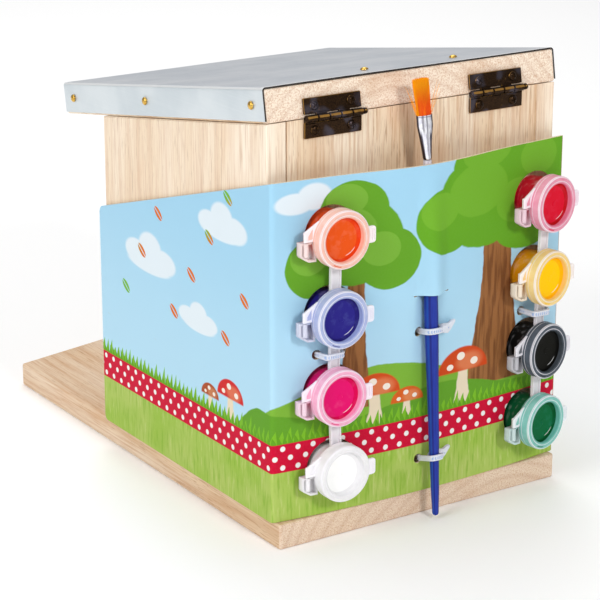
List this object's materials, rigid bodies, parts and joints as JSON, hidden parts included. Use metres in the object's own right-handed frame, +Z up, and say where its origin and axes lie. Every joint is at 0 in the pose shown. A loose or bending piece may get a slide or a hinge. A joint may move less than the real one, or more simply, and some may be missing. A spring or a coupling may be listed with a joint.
{
  "type": "squirrel feeder",
  "caption": "Wooden squirrel feeder box with hinged metal-covered roof, clear window, printed card sleeve, paint pots and brush",
  "frame": {"origin": "on the ground under the middle of the bounding box", "axes": "+Z up; the feeder's open platform and window face -Y; the hinges, paint pots and brush are at the back, +Y"},
  "size_m": [0.1358, 0.2436, 0.1752],
  "materials": {
    "wood": "planed, unpainted pale softwood",
    "acrylic": "clear acrylic sheet",
    "zinc": "satin zinc-coated sheet",
    "brass": "bright brass-plated nails",
    "antique_brass": "darkened brass with bright worn edges",
    "steel": "zinc-plated screws",
    "printed_card": "satin printed card in sky blue, greens and red with white dots",
    "frosted_plastic": "frosted translucent moulded plastic",
    "nylon": "milky white cable ties",
    "handle_lacquer": "royal-blue lacquered handle",
    "ferrule_metal": "polished aluminium",
    "bristle": "orange synthetic bristles",
    "paint_orange": "wet orange poster paint",
    "paint_blue": "wet blue poster paint",
    "paint_pink": "wet pink poster paint",
    "paint_white": "wet white poster paint",
    "paint_red": "wet red poster paint",
    "paint_yellow": "wet yellow poster paint",
    "paint_black": "wet black poster paint",
    "paint_green": "wet green poster paint"
  },
  "bodies": {
    "feeder": {"base_board": "wood", "back_wall": "wood", "side_wall_right": "wood", "side_wall_left": "wood", "window_pane": "acrylic", "base_screw_1": "steel", "base_screw_2": "steel", "base_screw_3": "steel", "base_screw_4": "steel", "hinge_right_wall_leaf": "antique_brass", "hinge_right_wall_screw_1": "antique_brass", "hinge_right_wall_screw_2": "antique_brass", "hinge_left_wall_leaf": "antique_brass", "hinge_left_wall_screw_1": "antique_brass", "hinge_left_wall_screw_2": "antique_brass", "hinge_right_pin": "antique_brass", "hinge_left_pin": "antique_brass", "card_sleeve": "printed_card", "pot_strip_right": "frosted_plastic", "pot_strip_left": "frosted_plastic", "paint_orange": "paint_orange", "paint_blue": "paint_blue", "paint_pink": "paint_pink", "paint_white": "paint_white", "paint_red": "paint_red", "paint_yellow": "paint_yellow", "paint_black": "paint_black", "paint_green": "paint_green", "strip_tie_right": "nylon", "strip_tie_left": "nylon", "brush_tie_upper": "nylon", "brush_tie_lower": "nylon", "brush_handle": "handle_lacquer", "brush_ferrule": "ferrule_metal", "brush_bristles": "bristle"},
    "roof": {"roof_board": "wood", "roof_sheet": "zinc", "roof_nail_1": "brass", "roof_nail_2": "brass", "roof_nail_3": "brass", "roof_nail_4": "brass", "roof_nail_5": "brass", "roof_nail_6": "brass", "roof_nail_7": "brass", "roof_nail_8": "brass", "hinge_right_roof_leaf": "antique_brass", "hinge_right_roof_screw_1": "antique_brass", "hinge_right_roof_screw_2": "antique_brass", "hinge_left_roof_leaf": "antique_brass", "hinge_left_roof_screw_1": "antique_brass", "hinge_left_roof_screw_2": "antique_brass"},
    "lid_orange": {"lid_orange": "frosted_plastic"},
    "lid_blue": {"lid_blue": "frosted_plastic"},
    "lid_pink": {"lid_pink": "frosted_plastic"},
    "lid_white": {"lid_white": "frosted_plastic"},
    "lid_red": {"lid_red": "frosted_plastic"},
    "lid_yellow": {"lid_yellow": "frosted_plastic"},
    "lid_black": {"lid_black": "frosted_plastic"},
    "lid_green": {"lid_green": "frosted_plastic"}
  },
  "joints": [
    {"name": "roof_hinge", "type": "hinge", "parent": "feeder", "child": "roof", "pos_m": [0.00034, 0.10248, 0.1624], "axis": [-1, 0, 0], "range_deg": [0, 105], "deforming": ["brush_bristles"]},
    {"name": "lid_orange_hinge", "type": "hinge", "parent": "feeder", "child": "lid_orange", "pos_m": [0.05744, 0.11303, 0.11995], "axis": [0, 0, -1], "range_deg": [0, 150]},
    {"name": "lid_blue_hinge", "type": "hinge", "parent": "feeder", "child": "lid_blue", "pos_m": [0.05783, 0.11303, 0.08955], "axis": [0, 0, -1], "range_deg": [0, 150]},
    {"name": "lid_pink_hinge", "type": "hinge", "parent": "feeder", "child": "lid_pink", "pos_m": [0.05814, 0.11303, 0.05915], "axis": [0, 0, -1], "range_deg": [0, 150]},
    {"name": "lid_white_hinge", "type": "hinge", "parent": "feeder", "child": "lid_white", "pos_m": [0.05653, 0.11303, 0.02875], "axis": [0, 0, -1], "range_deg": [0, 150]},
    {"name": "lid_red_hinge", "type": "hinge", "parent": "feeder", "child": "lid_red", "pos_m": [-0.03961, 0.11685, 0.1187], "axis": [0, 0, -1], "range_deg": [0, 150]},
    {"name": "lid_yellow_hinge", "type": "hinge", "parent": "feeder", "child": "lid_yellow", "pos_m": [-0.03862, 0.11704, 0.0891], "axis": [0, 0, -1], "range_deg": [0, 150]},
    {"name": "lid_black_hinge", "type": "hinge", "parent": "feeder", "child": "lid_black", "pos_m": [-0.03781, 0.1172, 0.0595], "axis": [0, 0, -1], "range_deg": [0, 150]},
    {"name": "lid_green_hinge", "type": "hinge", "parent": "feeder", "child": "lid_green", "pos_m": [-0.03752, 0.11726, 0.0299], "axis": [0, 0, -1], "range_deg": [0, 150]}
  ]
}
